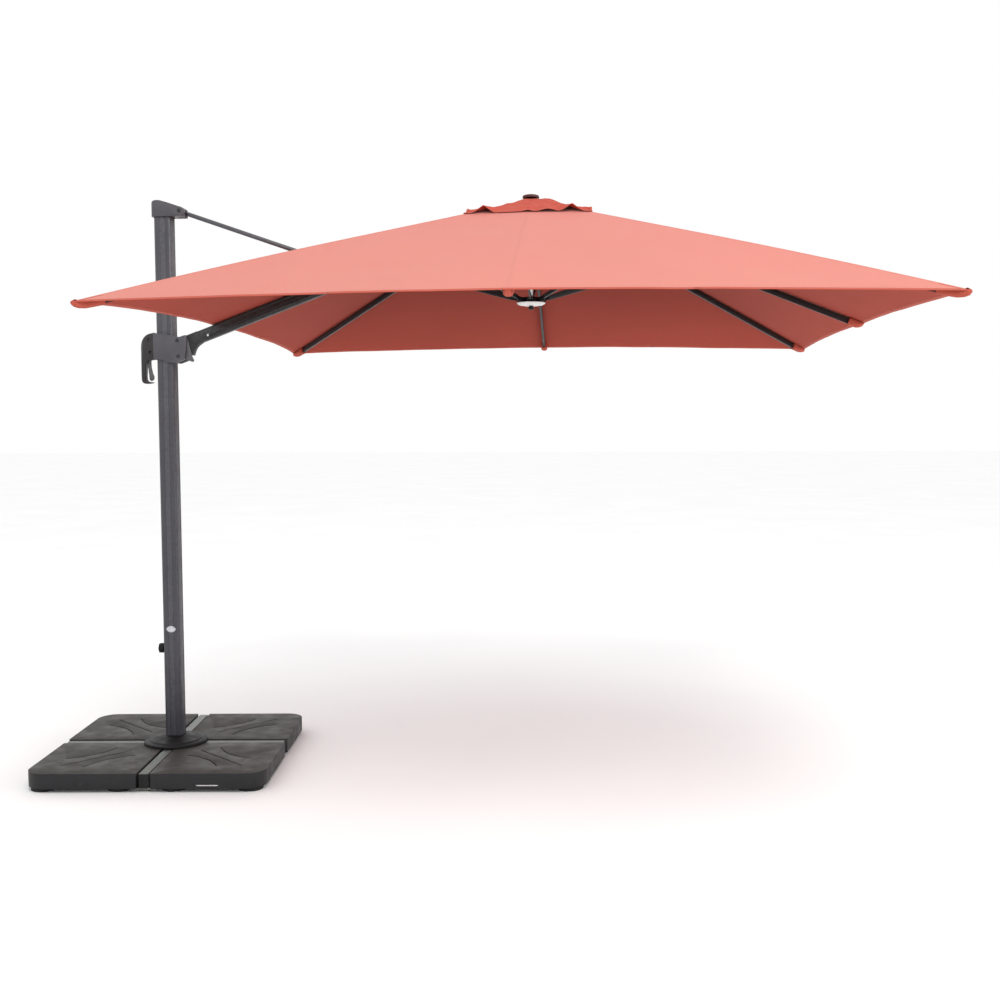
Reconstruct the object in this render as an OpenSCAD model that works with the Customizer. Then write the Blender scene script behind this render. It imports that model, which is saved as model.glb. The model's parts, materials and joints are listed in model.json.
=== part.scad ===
// Cantilever parasol: side mast on a ballasted cross base, folding boom and stay, square ribbed canopy.
// Millimetres, +Z up, floor at Z 0, mast axis through the origin, boom towards +X.

/* [Base] */
// Angle of the base about the mast axis, degrees.
base_turn = 4.4; // [0:0.1:90]
// Side of one square ballast slab.
slab_side = 500; // [400:1:600]
// Thickness of one ballast slab.
slab_thick = 68; // [40:1:100]
// Gap between neighbouring slabs.
slab_gap = 60; // [40:1:90]
// Height of the slab feet.
foot_height = 18; // [8:1:30]
// Radius of the outer corner of a slab.
slab_corner_radius = 90; // [20:1:160]
// Radius of the round cover on the base.
rosette_radius = 148; // [110:1:180]
// Height at which the round cover ends.
rosette_top = 120; // [100:1:150]

/* [Mast] */
// Width of the mast along the boom.
mast_width = 82; // [60:1:100]
// Depth of the mast across the boom.
mast_depth = 66; // [50:1:90]
// Wall of the mast extrusion.
mast_wall = 3; // [2:0.5:6]
// Height of the bottom of the mast.
mast_bottom = 122; // [100:1:160]
// Height of the top of the mast extrusion.
mast_top = 2592; // [2000:1:2800]
// Outer radius of the fixed tube inside the mast.
stub_radius = 21; // [15:0.5:26]
// Height of the top of the fixed tube.
stub_top = 620; // [300:1:900]

/* [Boom and stay] */
// Distance of the upper and lower pivots from the mast axis.
pivot_x = 85; // [70:1:110]
// Height of the stay's upper pivot.
stay_pivot_z = 2602; // [2400:1:2700]
// Height of the boom's pivot on the carriage.
boom_pivot_z = 2010; // [1800:1:2200]
// Distance from the mast axis to the pivot that joins stay and boom.
joint_x = 935; // [700:1:1100]
// Rise of the boom per unit of length.
boom_slope = 0.37; // [0.2:0.005:0.5]
// Depth of the boom tube.
boom_depth = 56; // [40:1:80]
// Width of the boom tube.
boom_width = 40; // [30:1:60]
// Outer radius of the stay tube.
stay_radius = 10; // [7:0.5:16]

/* [Carriage] */
// Height of the carriage's lower edge.
carriage_bottom = 1898; // [1800:1:1950]
// Height of the carriage's upper edge.
carriage_top = 2041; // [2000:1:2100]
// Height of the lower tip of the grip.
grip_bottom = 1803; // [1750:1:1850]
// Furthest reach of the grip from the mast axis.
grip_reach = 126; // [110:1:160]
// Height of the release lever's pivot.
lever_pivot_z = 1955; // [1930:1:1990]

/* [Canopy] */
// Distance from the mast axis to the hub axis.
hub_x = 1720; // [1400:1:2000]
// Half of the side of the square canopy.
half_side = 1500; // [1000:10:2000]
// Height at which the rib axes meet the hub axis.
crown_z = 2608; // [2400:1:2800]
// Fall per unit of length of the ribs that end at the middle of a side.
side_slope = 0.37; // [0.2:0.005:0.5]
// Fall per unit of length of the ribs that end at a corner.
corner_slope = 0.2725; // [0.15:0.0005:0.4]
// Inward sweep of the hem between two ribs.
hem_sweep = 14; // [0:1:80]
// Fall of the hem below the straight line of the inner canopy.
hem_drop = 17; // [0:1:30]
// Width of the outer band over which the canopy takes that fall.
hem_band = 800; // [400:10:1000]
// Thickness of the cloth panels.
cloth_thick = 2; // [1:0.5:4]
// Half of the side of the vent cap over the crown.
vent_half = 280; // [150:1:400]

/* [Ribs and struts] */
// Radius of the ring of hinge pins at the hub and the runner.
ring_radius = 60; // [50:1:90]
// Height of the hinge pins at the hub.
hub_pin_z = 2520; // [2450:1:2600]
// Height of the hinge pins at the runner.
runner_pin_z = 2175; // [2050:1:2300]
// Width of a rib.
rib_width = 12; // [8:0.5:20]
// Depth of a rib.
rib_depth = 27; // [18:0.5:40]
// Distance from the end of a rib to the hem.
rib_margin = 60; // [40:1:90]
// Distance of a corner rib's strut pin from the hub axis.
corner_pin_reach = 701; // [600:0.5:800]
// Drop of a corner rib's strut pin below the rib's axis.
corner_pin_drop = 30; // [0:1:70]

/* [Hidden] */
slop = 0.05;
small_fn = 32;
round_fn = 64;
wide_fn = 96;
slab_top = foot_height + slab_thick;
flange_z = slab_top - 4;
arm_reach = 520;
boom_angle = atan(boom_slope);
boom_axis_crown = crown_z - 11;
joint_z = (stay_pivot_z + boom_pivot_z) / 2;
stay_angle = atan((stay_pivot_z - joint_z) / (joint_x - pivot_x));
stay_length = norm([joint_x - pivot_x, stay_pivot_z - joint_z]);
boom_drop = (boom_axis_crown - boom_slope * (hub_x - pivot_x) - boom_pivot_z) * cos(boom_angle);
side_pin_z = (hub_pin_z + runner_pin_z) / 2;
side_pin_reach = (crown_z - side_pin_z) / side_slope;
corner_pin_z = crown_z - corner_slope * corner_pin_reach - corner_pin_drop;
corner_reach = half_side * sqrt(2);
cloth_top = crown_z + 18;
cloth_fall = side_slope;
cloth_tilt = corner_slope * sqrt(2) - side_slope;
pin_radius = 3;
sleeve_half = mast_depth / 2 + 10;
sleeve_left = mast_width / 2 + 11;
cheek_gap = 27;

// ---- shared shapes ----

module rounded_plate(length, width, radius) {
  union() {
    square([length - 2 * radius, width], center = true);
    square([length, width - 2 * radius], center = true);
    for (sx = [-1, 1], sy = [-1, 1])
      translate([sx * (length / 2 - radius), sy * (width / 2 - radius)])
        circle(r = radius, $fn = round_fn);
  }
}

// A plate standing in the XZ plane, from a 2D outline, centred on y.
module upright(thickness, y = 0) {
  translate([0, y + thickness / 2, 0])
    rotate([90, 0, 0])
      linear_extrude(height = thickness)
        children();
}

// A rod or bore along Y.
module cross_rod(radius, length, fn = small_fn) {
  rotate([90, 0, 0])
    cylinder(r = radius, h = length, center = true, $fn = fn);
}

module on_base() {
  rotate([0, 0, base_turn])
    children();
}

module at_stay() {
  translate([pivot_x, 0, stay_pivot_z])
    rotate([0, stay_angle, 0])
      children();
}

module at_boom() {
  translate([pivot_x, 0, boom_pivot_z])
    rotate([0, -boom_angle, 0])
      children();
}

// Frame of the hub for one rib: X outwards, origin on the hub axis at Z 0.
module at_hub(azimuth) {
  translate([hub_x, 0, 0])
    rotate([0, 0, azimuth])
      children();
}

// ---- base ----

module base_cross() {
  color("silver")
    on_base()
      difference() {
        union() {
          for (turn = [0, 90, 180, 270])
            rotate([0, 0, turn]) {
              translate([20, -20, foot_height])
                cube([arm_reach - 20, 40, flange_z - foot_height]);
              translate([60, -60, foot_height - 5])
                cube([arm_reach - 60, 120, 5]);
              translate([arm_reach - 60, -18, 0])
                cube([40, 36, foot_height]);
            }
          translate([-65, -65, 0])
            cube([130, 130, 10]);
          translate([-60, -60, 10])
            cube([120, 120, flange_z - 10]);
        }
        for (turn = [0, 90, 180, 270])
          rotate([0, 0, turn])
            translate([90, -17, foot_height + 3])
              cube([arm_reach, 34, flange_z - foot_height - 6]);
        for (turn = [45, 135, 225, 315])
          rotate([0, 0, turn])
            translate([62, 0, flange_z - 30])
              cylinder(r = 5 + slop, h = 40, $fn = small_fn);
      }
}

module base_stub() {
  color("silver")
    on_base()
      difference() {
        union() {
          translate([0, 0, flange_z])
            cylinder(r = 84, h = 8, $fn = round_fn);
          translate([0, 0, flange_z])
            cylinder(r = stub_radius, h = stub_top - flange_z, $fn = round_fn);
          for (turn = [0, 90, 180, 270])
            rotate([0, 0, turn])
              upright(5)
                polygon([[stub_radius - 2, flange_z + 6], [60, flange_z + 6], [stub_radius - 2, 112]]);
        }
        translate([0, 0, flange_z + 10])
          cylinder(r = stub_radius - 3, h = stub_top, $fn = round_fn);
        for (turn = [45, 135, 225, 315])
          rotate([0, 0, turn])
            translate([62, 0, flange_z - 5])
              cylinder(r = 5 + slop, h = 40, $fn = small_fn);
      }
}

// One slab in its own quarter, outer corner at +X +Y.
module slab(grip_slot) {
  low = slab_gap / 2;
  high = low + slab_side;
  inner_radius = 8;
  difference() {
    translate([0, 0, foot_height])
      linear_extrude(height = slab_thick)
        difference() {
          union() {
            translate([low + inner_radius, low])
              square([slab_side - inner_radius - slab_corner_radius, slab_side]);
            translate([low, low + inner_radius])
              square([slab_side, slab_side - inner_radius - slab_corner_radius]);
            translate([low, low + inner_radius])
              square([inner_radius, slab_side - 2 * inner_radius]);
            translate([low + inner_radius, low])
              square([slab_side - 2 * inner_radius, inner_radius]);
            translate([low + inner_radius, low + inner_radius])
              circle(r = inner_radius, $fn = round_fn);
            translate([high - slab_corner_radius, high - slab_corner_radius])
              circle(r = slab_corner_radius, $fn = wide_fn);
            translate([low + inner_radius, high - inner_radius])
              circle(r = inner_radius, $fn = round_fn);
            translate([high - inner_radius, low + inner_radius])
              circle(r = inner_radius, $fn = round_fn);
          }
          circle(r = 92, $fn = wide_fn);
        }
    slab_grooves(low);
    if (grip_slot)
      translate([(low + high) / 2 - 52, high - 22, foot_height + 10])
        cube([104, 40, 8]);
  }
}

// Three shallow grooves: a straight one on the diagonal and a curved one on each side of it.
module slab_grooves(low) {
  groove = 7;
  deep = 4;
  bend = 282;
  translate([0, 0, slab_top - deep])
    linear_extrude(height = deep + 1) {
      rotate(45)
        translate([low + 203, -groove / 2])
          square([345, groove]);
      for (turned = [0, 1])
        mirror(turned * [1, -1])
          intersection() {
            translate([low + 88, low + 212])
              square([180, 184]);
            translate([low, low + 484])
              difference() {
                circle(r = bend + groove / 2, $fn = 240);
                circle(r = bend - groove / 2, $fn = 240);
              }
          }
    }
}

module slab_front_left() {
  color("dimgray")
    on_base()
      rotate([0, 0, 180])
        slab(false);
}

module slab_front_right() {
  color("dimgray")
    on_base()
      mirror([0, 1, 0])
        slab(true);
}

module slab_back_left() {
  color("dimgray")
    on_base()
      mirror([1, 0, 0])
        slab(true);
}

module slab_back_right() {
  color("dimgray")
    on_base()
      slab(false);
}

module slab_feet() {
  near = 120;
  far = slab_gap / 2 + slab_side - 70;
  color("black")
    on_base()
      for (turn = [0, 90, 180, 270])
        rotate([0, 0, turn])
          for (x = [near, far], y = [near, far])
            translate([x, y, 0])
              cylinder(r = 54, h = foot_height, $fn = round_fn);
}

module base_bolts() {
  color("silver")
    on_base()
      for (turn = [45, 135, 225, 315])
        rotate([0, 0, turn])
          translate([62, 0, flange_z - 28]) {
            cylinder(r = 5, h = 40, $fn = small_fn);
            translate([0, 0, 36])
              cylinder(r = 8.5, h = 7, $fn = 36);
          }
}

module arm_plugs() {
  color("black")
    on_base()
      for (turn = [0, 90, 180, 270])
        rotate([0, 0, turn])
          union() {
            translate([arm_reach - 14, -17 + slop, foot_height + 3 + slop])
              cube([15, 34 - 2 * slop, flange_z - foot_height - 6 - 2 * slop]);
            translate([arm_reach + 0.1, -20, foot_height])
              cube([3, 40, flange_z - foot_height]);
          }
}

module rosette() {
  outer = rosette_radius;
  low = slab_top + 0.2;
  color("black")
    rotate_extrude($fn = wide_fn)
      polygon([
        [outer, low], [outer, low + 8], [outer - 4, low + 12], [outer - 22, low + 14],
        [outer - 26, low + 19], [outer - 48, low + 22], [outer - 66, low + 25],
        [outer - 82, rosette_top - 3], [outer - 88, rosette_top], [stub_radius + 3, rosette_top],
        [stub_radius + 3, rosette_top - 4], [outer - 86, rosette_top - 4], [outer - 70, low + 20],
        [outer - 50, low + 17], [outer - 28, low + 14], [outer - 24, low + 9], [outer - 8, low + 7],
        [outer - 5, low + 4], [outer - 5, low]
      ]);
}

// ---- mast ----

module mast_outline(grow = 0) {
  rounded_plate(mast_width + 2 * grow, mast_depth + 2 * grow, 12 + grow);
}

module mast_flutes() {
  for (y = [-1, 1], x = [-13, 13])
    translate([x, y * (mast_depth / 2 + 1.2)])
      circle(r = 2.2, $fn = small_fn);
  for (x = [-1, 1], y = [-11, 11])
    translate([x * (mast_width / 2 + 1.2), y])
      circle(r = 2.2, $fn = small_fn);
}

module mast_tube() {
  color("dimgray")
    difference() {
      translate([0, 0, mast_bottom])
        linear_extrude(height = mast_top - mast_bottom)
          difference() {
            mast_outline();
            mast_outline(-mast_wall);
            mast_flutes();
          }
      translate([-mast_width / 2 - 5, 0, 540])
        rotate([0, 90, 0])
          cylinder(r = 4 + slop, h = 20, $fn = small_fn);
    }
}

module mast_bushings() {
  color("black")
    for (z = [mast_bottom + 6, stub_top - 50])
      translate([0, 0, z])
        difference() {
          linear_extrude(height = 40)
            mast_outline(-mast_wall - slop);
          translate([0, 0, -1])
            cylinder(r = stub_radius + slop, h = 42, $fn = round_fn);
        }
}

module mast_head() {
  left = -mast_width / 2 - 11;
  right = pivot_x + 20;
  bottom = stay_pivot_z - 24;
  top = stay_pivot_z + 51;
  half = mast_depth / 2 + 8;
  color("black")
    difference() {
      intersection() {
        translate([(left + right) / 2, 0, bottom])
          linear_extrude(height = 100)
            rounded_plate(right - left, 2 * half, 20);
        upright(2 * half)
          union() {
            polygon([
              [left, bottom], [right - 4, bottom], [right, bottom + 6], [right, stay_pivot_z],
              [pivot_x, stay_pivot_z + 20], [30, top - 12], [-6, top - 1.5], [-20, top], [-34, top - 1.5],
              [left + 9, top - 5], [left + 3, top - 12], [left, top - 21]
            ]);
            translate([pivot_x, stay_pivot_z])
              circle(r = 20, $fn = round_fn);
          }
      }
      translate([0, 0, bottom - 1])
        linear_extrude(height = mast_top - bottom + 1.2)
          mast_outline(slop);
      translate([pivot_x, 0, stay_pivot_z])
        cross_rod(5 + slop, 2 * half + 4);
      for (side = [-1, 1])
        translate([pivot_x, side * half, stay_pivot_z])
          cross_rod(9.5, 6);
      upright(18)
        union() {
          translate([pivot_x, stay_pivot_z])
            circle(r = 15, $fn = round_fn);
          polygon([
            [pivot_x - 15, stay_pivot_z], [pivot_x - 15, bottom - 5], [right + 15, bottom - 5],
            [right + 15, stay_pivot_z + 5], [pivot_x + 12, stay_pivot_z + 9]
          ]);
        }
    }
}

module badge() {
  color("silver")
    translate([0, -mast_depth / 2, 637])
      rotate([90, 0, 0])
        difference() {
          linear_extrude(height = 2.5)
            oval(47, 31);
          translate([0, 0, 1.8])
            linear_extrude(height = 2)
              difference() {
                oval(43, 27);
                oval(39, 23);
              }
        }
}

// A pointed oval between two arcs.
module oval(length, width) {
  side = (length * length + width * width) / (4 * width);
  intersection() {
    translate([0, side - width / 2])
      circle(r = side, $fn = 120);
    translate([0, width / 2 - side])
      circle(r = side, $fn = 120);
  }
}

module lock_knob() {
  color("black")
    translate([-mast_width / 2, 0, 540])
      rotate([0, -90, 0])
        union() {
          translate([0, 0, -16])
            cylinder(r = 4, h = 22, $fn = small_fn);
          translate([0, 0, 1])
            cylinder(r = 12, h = 6, $fn = round_fn);
          difference() {
            translate([0, 0, 6])
              cylinder(r = 23, h = 22, $fn = round_fn);
            for (turn = [0 : 60 : 300])
              rotate([0, 0, turn])
                translate([26, 0, 0])
                  cylinder(r = 6, h = 60, $fn = small_fn);
          }
        }
}

// ---- stay ----

module stay_tube() {
  color("dimgray")
    at_stay()
      translate([30, 0, 0])
        rotate([0, 90, 0])
          difference() {
            cylinder(r = stay_radius, h = stay_length - 270, $fn = round_fn);
            translate([0, 0, -1])
              cylinder(r = stay_radius - 2, h = stay_length, $fn = round_fn);
          }
}

module stay_fittings() {
  fork_root = stay_length - 240;
  plug = stay_radius - 2 - slop;
  color("black")
    at_stay() {
      difference() {
        union() {
          cross_rod(13, 16, round_fn);
          rotate([0, 90, 0])
            cylinder(r = 7.6, h = 30, $fn = round_fn);
          translate([30, 0, 0])
            rotate([0, 90, 0])
              cylinder(r = plug, h = 40, $fn = round_fn);
        }
        cross_rod(5 + slop, 40);
      }
      difference() {
        union() {
          translate([fork_root - 40, 0, 0])
            rotate([0, 90, 0])
              cylinder(r = plug, h = 50, $fn = round_fn);
          translate([fork_root, -26.5, -9])
            cube([22, 53, 18]);
          for (side = [-1, 1])
            upright(5, side * 24)
              union() {
                translate([fork_root + 10, -9])
                  square([230, 18]);
                translate([stay_length, 0])
                  circle(r = 12, $fn = round_fn);
              }
        }
        translate([stay_length, 0, 0])
          cross_rod(5 + slop, 80);
      }
    }
}

module stay_pins() {
  color("silver")
    at_stay()
      for (spot = [[0, mast_depth + 13], [stay_length, 55.6]])
        translate([spot[0], 0, 0]) {
          cross_rod(5, spot[1]);
          translate([0, -spot[1] / 2 + 0.6, 0])
            cross_rod(8.5, 1.2);
          translate([0, spot[1] / 2 - 0.6, 0])
            cross_rod(8.5, 1.2);
        }
}

// ---- boom ----

// Points that the boom carries, in its own frame.
function on_boom(x, z) = [
  (x - pivot_x) * cos(boom_angle) + (z - boom_pivot_z) * sin(boom_angle),
  -(x - pivot_x) * sin(boom_angle) + (z - boom_pivot_z) * cos(boom_angle)
];

boom_joint = on_boom(joint_x, joint_z);
boom_strut_pin = on_boom(hub_x - side_pin_reach, side_pin_z);
boom_hub_pin = on_boom(hub_x - ring_radius, hub_pin_z);
boom_start = 75;
boom_end = boom_hub_pin[0] - 95;

module boom_section(grow) {
  rounded_plate(boom_depth + 2 * grow, boom_width + 2 * grow, 8 + grow);
}

module along_boom(from, to, grow) {
  translate([from, 0, boom_drop])
    rotate([0, 90, 0])
      linear_extrude(height = to - from)
        boom_section(grow);
}

module boom_tube() {
  color("dimgray")
    at_boom()
      difference() {
        along_boom(boom_start, boom_end, 0);
        along_boom(boom_start - 1, boom_end + 1, -3);
        translate([boom_joint[0], 0, boom_joint[1]])
          cross_rod(5 + slop, 80);
        translate([boom_strut_pin[0], 0, boom_strut_pin[1]])
          cross_rod(4 + slop, 80);
        translate([118, 0, boom_drop - 8])
          cross_rod(3 + slop, 80);
      }
}

module boom_root() {
  low = boom_drop - boom_depth / 2;
  high = boom_drop + boom_depth / 2;
  color("dimgray")
    at_boom()
      difference() {
        union() {
          along_boom(boom_start - 1, 135, -3 - slop);
          upright(boom_width)
            union() {
              circle(r = 17, $fn = round_fn);
              polygon([
                [-8, 15], [2, high], [boom_start, high], [boom_start, low], [66, low - 2], [54, low - 5],
                [43, low - 10], [34, low - 17], [26, low - 25], [19, low - 34], [15, low - 40],
                [8, low - 38], [2, low - 22], [-10, -13.7]
              ]);
            }
        }
        cross_rod(5 + slop, 80);
        translate([118, 0, boom_drop - 8])
          cross_rod(3 + slop, 80);
      }
}

module boom_yoke() {
  tongue = 12;
  color("dimgray")
    at_boom()
      difference() {
        union() {
          along_boom(boom_end - 60, boom_end + 1, -3 - slop);
          along_boom(boom_end, boom_end + 6, 0);
          upright(tongue)
            union() {
              polygon([
                [boom_end + 2, boom_drop + 26], [boom_end + 26, boom_drop + 26],
                [boom_hub_pin[0] + 9, boom_hub_pin[1] + 4], [boom_hub_pin[0] - 9, boom_hub_pin[1] - 3],
                [boom_end + 2, boom_drop - 26]
              ]);
              translate([boom_hub_pin[0], boom_hub_pin[1]])
                circle(r = 11, $fn = round_fn);
            }
        }
        translate([boom_hub_pin[0], 0, boom_hub_pin[1]])
          cross_rod(pin_radius + slop, 60);
      }
}

module boom_rivets() {
  color("silver")
    at_boom() {
      translate([118, 0, boom_drop - 8]) {
        cross_rod(3, 42);
        for (side = [-1, 1])
          translate([0, side * 21, 0])
            cross_rod(5.5, 2);
      }
      translate([boom_strut_pin[0], 0, boom_strut_pin[1]])
        cross_rod(4, 72);
    }
}

// ---- carriage ----

// Outline of the carriage seen from the front, from the grip's side to the cheeks beside the boom.
module carriage_outline() {
  low = carriage_bottom;
  high = carriage_top;
  edge = pivot_x + 24;
  polygon([
    [-sleeve_left, high], [-43, high - 2.5], [10, high - 10], [54, high - 17.5], [63, high - 21.5],
    [70, high - 22], [80, high - 20], [edge - 13, high - 15], [edge - 6, high - 13], [edge - 2, high - 15],
    [edge, high - 21], [edge - 1, high - 41], [edge - 5, low + 62], [edge - 11, low + 24],
    [edge - 15, low + 16], [edge - 23, low + 12], [72, low + 7], [58, low + 2], [48, low], [30, low + 3],
    [18, low + 6], [-7, low + 14], [-39, low + 19], [-sleeve_left, low + 20]
  ]);
}

// Screw places on the cheeks.
cheek_screws = [[63, carriage_top - 39], [66, carriage_bottom + 31]];
// Screw places on the grip: position from the mast axis, height, half width of the grip there.
grip_screws = [[-68, lever_pivot_z - 6, 33.5], [-75, lever_pivot_z + 52, 37]];

module carriage_sleeve() {
  wide = sleeve_left + pivot_x + 24;
  color("black")
    difference() {
      intersection() {
        translate([0, 0, carriage_bottom - 5])
          linear_extrude(height = 200)
            union() {
              translate([-sleeve_left + wide / 2, 0])
                rounded_plate(wide, 2 * sleeve_half, 12);
              translate([-sleeve_left, -sleeve_half])
                square([40, 2 * sleeve_half]);
            }
        upright(2 * sleeve_half)
          carriage_outline();
      }
      translate([0, 0, carriage_bottom - 20])
        linear_extrude(height = 300)
          mast_outline(0.4);
      translate([mast_width / 2 + 11, -cheek_gap, carriage_bottom - 20])
        cube([100, 2 * cheek_gap, 300]);
      translate([pivot_x, 0, boom_pivot_z])
        cross_rod(5 + slop, 2 * sleeve_half - 4);
      translate([-60, 0, lever_pivot_z - 25])
        rotate([0, 90, 0])
          cylinder(r = 5 + slop, h = 40, $fn = small_fn);
      for (spot = cheek_screws, side = [-1, 1]) {
        translate([spot[0], side * sleeve_half, spot[1]])
          cross_rod(9, 8);
        translate([spot[0], side * (sleeve_half - 8), spot[1]])
          cross_rod(3 + slop, 12);
      }
    }
}

// The grip seen from the front: a round shoulder above, a slim handle with a hook below.
module grip_outline() {
  reach = grip_reach;
  low = grip_bottom;
  shoulder = reach - sleeve_left + 1;
  base = carriage_top - shoulder;
  union() {
    intersection() {
      translate([-sleeve_left, base])
        circle(r = shoulder - 3, $fn = wide_fn);
      translate([-reach - 4, base - 20])
        square([reach + 4 - sleeve_left, 120]);
    }
    polygon([
      [-sleeve_left, low + 114], [-sleeve_left, base + 4], [-reach + 4, base + 1], [-reach + 2, low + 127],
      [-reach, low + 77], [-reach + 0.5, low + 37], [-reach + 4, low + 17], [-reach + 11, low + 5],
      [-reach + 22, low], [-reach + 38, low + 0.5], [-reach + 52, low + 3.5], [-reach + 55, low + 6],
      [-reach + 50, low + 8], [-reach + 36, low + 9], [-reach + 28, low + 12], [-reach + 22, low + 21],
      [-reach + 21, low + 37], [-reach + 24, low + 83], [-reach + 28, low + 101], [-reach + 36, low + 110],
      [-reach + 53, low + 113]
    ]);
  }
}

module grip() {
  reach = grip_reach;
  wide = sleeve_half;
  low = grip_bottom;
  color("black")
    difference() {
      intersection() {
        upright(2 * wide)
          grip_outline();
        translate([0, 0, low - 5])
          linear_extrude(height = 260)
            polygon([
              [-sleeve_left, wide], [-sleeve_left - 13, wide - 1], [-80, wide - 4], [-94, wide - 9],
              [-reach + 19, wide - 15], [-reach + 9, wide - 23], [-reach + 3, wide - 31], [-reach - 1, 4],
              [-reach - 1, -4], [-reach + 3, 31 - wide], [-reach + 9, 23 - wide], [-reach + 19, 15 - wide],
              [-94, 9 - wide], [-80, 4 - wide], [-sleeve_left - 13, 1 - wide], [-sleeve_left, -wide]
            ]);
        rotate([90, 0, 90])
          translate([0, 0, -reach - 10])
            linear_extrude(height = reach)
              polygon([
                [wide, low + 260], [wide, low + 169], [wide - 2, low + 153], [wide - 7, low + 139],
                [wide - 14, low + 127], [wide - 20, low + 115], [wide - 23.5, low + 101], [18, low + 85],
                [18, low - 5], [-18, low - 5], [-18, low + 85], [23.5 - wide, low + 101],
                [20 - wide, low + 115], [14 - wide, low + 127], [7 - wide, low + 139], [2 - wide, low + 153],
                [-wide, low + 169], [-wide, low + 260]
              ]);
      }
      translate([-100, -6, lever_pivot_z - 60])
        cube([44, 12, 76]);
      translate([-80, 0, lever_pivot_z - 25])
        rotate([0, 90, 0])
          cylinder(r = 5 + 2 * slop, h = 40, $fn = small_fn);
      for (spot = grip_screws, side = [-1, 1])
        translate([spot[0], side * (spot[2] + 8), spot[1]])
          cross_rod(8, 22);
    }
  color("silver")
    translate([-80, 0, lever_pivot_z])
      cross_rod(4, 20);
}

module carriage_screws() {
  color("silver") {
    for (spot = cheek_screws, side = [-1, 1]) {
      translate([spot[0], side * (sleeve_half - 2.8), spot[1]])
        cross_rod(6.5, 2.2);
      translate([spot[0], side * (sleeve_half - 8), spot[1]])
        cross_rod(3, 10);
    }
    for (spot = grip_screws, side = [-1, 1])
      translate([spot[0], side * (spot[2] - 1.8), spot[1]])
        cross_rod(6, 2.2);
  }
}

module pivot_pin() {
  color("silver")
    translate([pivot_x, 0, boom_pivot_z]) {
      cross_rod(5, 2 * sleeve_half - 5);
      translate([0, 23.5, 0])
        cross_rod(9, 6);
    }
}

module release_lever() {
  color("dimgray")
    difference() {
      upright(10)
        union() {
          translate([-80, lever_pivot_z])
            circle(r = 9, $fn = round_fn);
          polygon([
            [-89, lever_pivot_z], [-71, lever_pivot_z], [-72, lever_pivot_z - 26], [-80, lever_pivot_z - 46],
            [-79, lever_pivot_z - 75], [-73, lever_pivot_z - 102], [-66, lever_pivot_z - 120],
            [-69, lever_pivot_z - 133], [-79, lever_pivot_z - 139], [-87, lever_pivot_z - 134],
            [-90, lever_pivot_z - 105], [-93, lever_pivot_z - 75], [-94, lever_pivot_z - 50],
            [-90, lever_pivot_z - 30]
          ]);
        }
      translate([-80, 0, lever_pivot_z])
        cross_rod(4 + slop, 40);
      translate([-100, -3.2, lever_pivot_z - 30])
        cube([60, 6.4, 10]);
    }
}

module latch_pin() {
  color("silver")
    translate([0, 0, lever_pivot_z - 25])
      rotate([0, -90, 0]) {
        translate([0, 0, mast_width / 2 + 0.5])
          cylinder(r = 5, h = 20, $fn = small_fn);
        translate([0, 0, mast_width / 2 + 10])
          cylinder(r = 2.6, h = 40, $fn = small_fn);
      }
}

module tilt_lever() {
  color("dimgray")
    translate([pivot_x, 0, boom_pivot_z])
      difference() {
        union() {
          upright(4.5, -23.75)
            union() {
              circle(r = 12, $fn = round_fn);
              polygon([
                [-11, 4], [0, 12], [16, 10], [24, 2], [33, -40], [42, -76], [50, -98], [46, -106], [36, -104],
                [20, -98], [9, -92], [3, -60], [-6, -10]
              ]);
            }
          translate([43, -22, -99])
            cross_rod(7, 12, round_fn);
        }
        cross_rod(5 + slop, 80);
      }
}

// ---- hub ----

// Two ears for a hinge tongue, in the frame of one rib.
module ears(z, gap, thick, from, to, half_height) {
  for (side = [-1, 1])
    upright(thick, side * (gap + thick / 2))
      union() {
        translate([from, z - half_height])
          square([to - from - half_height, 2 * half_height]);
        translate([to - half_height, z])
          circle(r = half_height, $fn = small_fn);
      }
}

side_azimuths = [0, 90, 270];
corner_azimuths = [45, 135, 225, 315];
hub_ear_gap = 3.4;
boom_ear_gap = 6.4;

module hub() {
  color("black")
    difference() {
      union() {
        translate([hub_x, 0, hub_pin_z - 24])
          cylinder(r = 42, h = crown_z - hub_pin_z + 22, $fn = round_fn);
        translate([hub_x, 0, crown_z - 4])
          cylinder(r = 54, h = 7, $fn = round_fn);
        translate([hub_x, 0, crown_z])
          cylinder(r = 10, h = 34, $fn = small_fn);
        for (azimuth = concat(side_azimuths, corner_azimuths))
          at_hub(azimuth)
            ears(hub_pin_z, hub_ear_gap, 5, 38, ring_radius + 9, 9);
        at_hub(180)
          ears(hub_pin_z, boom_ear_gap, 6, 38, ring_radius + 11, 11);
      }
      for (azimuth = concat(side_azimuths, corner_azimuths))
        at_hub(azimuth) {
          translate([ring_radius, 0, hub_pin_z])
            cross_rod(pin_radius + slop, 40);
          translate([ring_radius - 12, -hub_ear_gap, hub_pin_z - 30])
            cube([40, 2 * hub_ear_gap, 60]);
        }
      at_hub(180) {
        translate([ring_radius, 0, hub_pin_z])
          cross_rod(pin_radius + slop, 40);
        translate([ring_radius - 14, -boom_ear_gap, hub_pin_z - 30])
          cube([40, 2 * boom_ear_gap, 60]);
      }
    }
}

module hub_pins() {
  color("silver") {
    for (azimuth = concat(side_azimuths, corner_azimuths))
      at_hub(azimuth)
        translate([ring_radius, 0, hub_pin_z])
          cross_rod(pin_radius, 2 * (hub_ear_gap + 5) + 2);
    at_hub(180)
      translate([ring_radius, 0, hub_pin_z])
        cross_rod(pin_radius, 2 * (boom_ear_gap + 6) + 2);
  }
}

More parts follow.
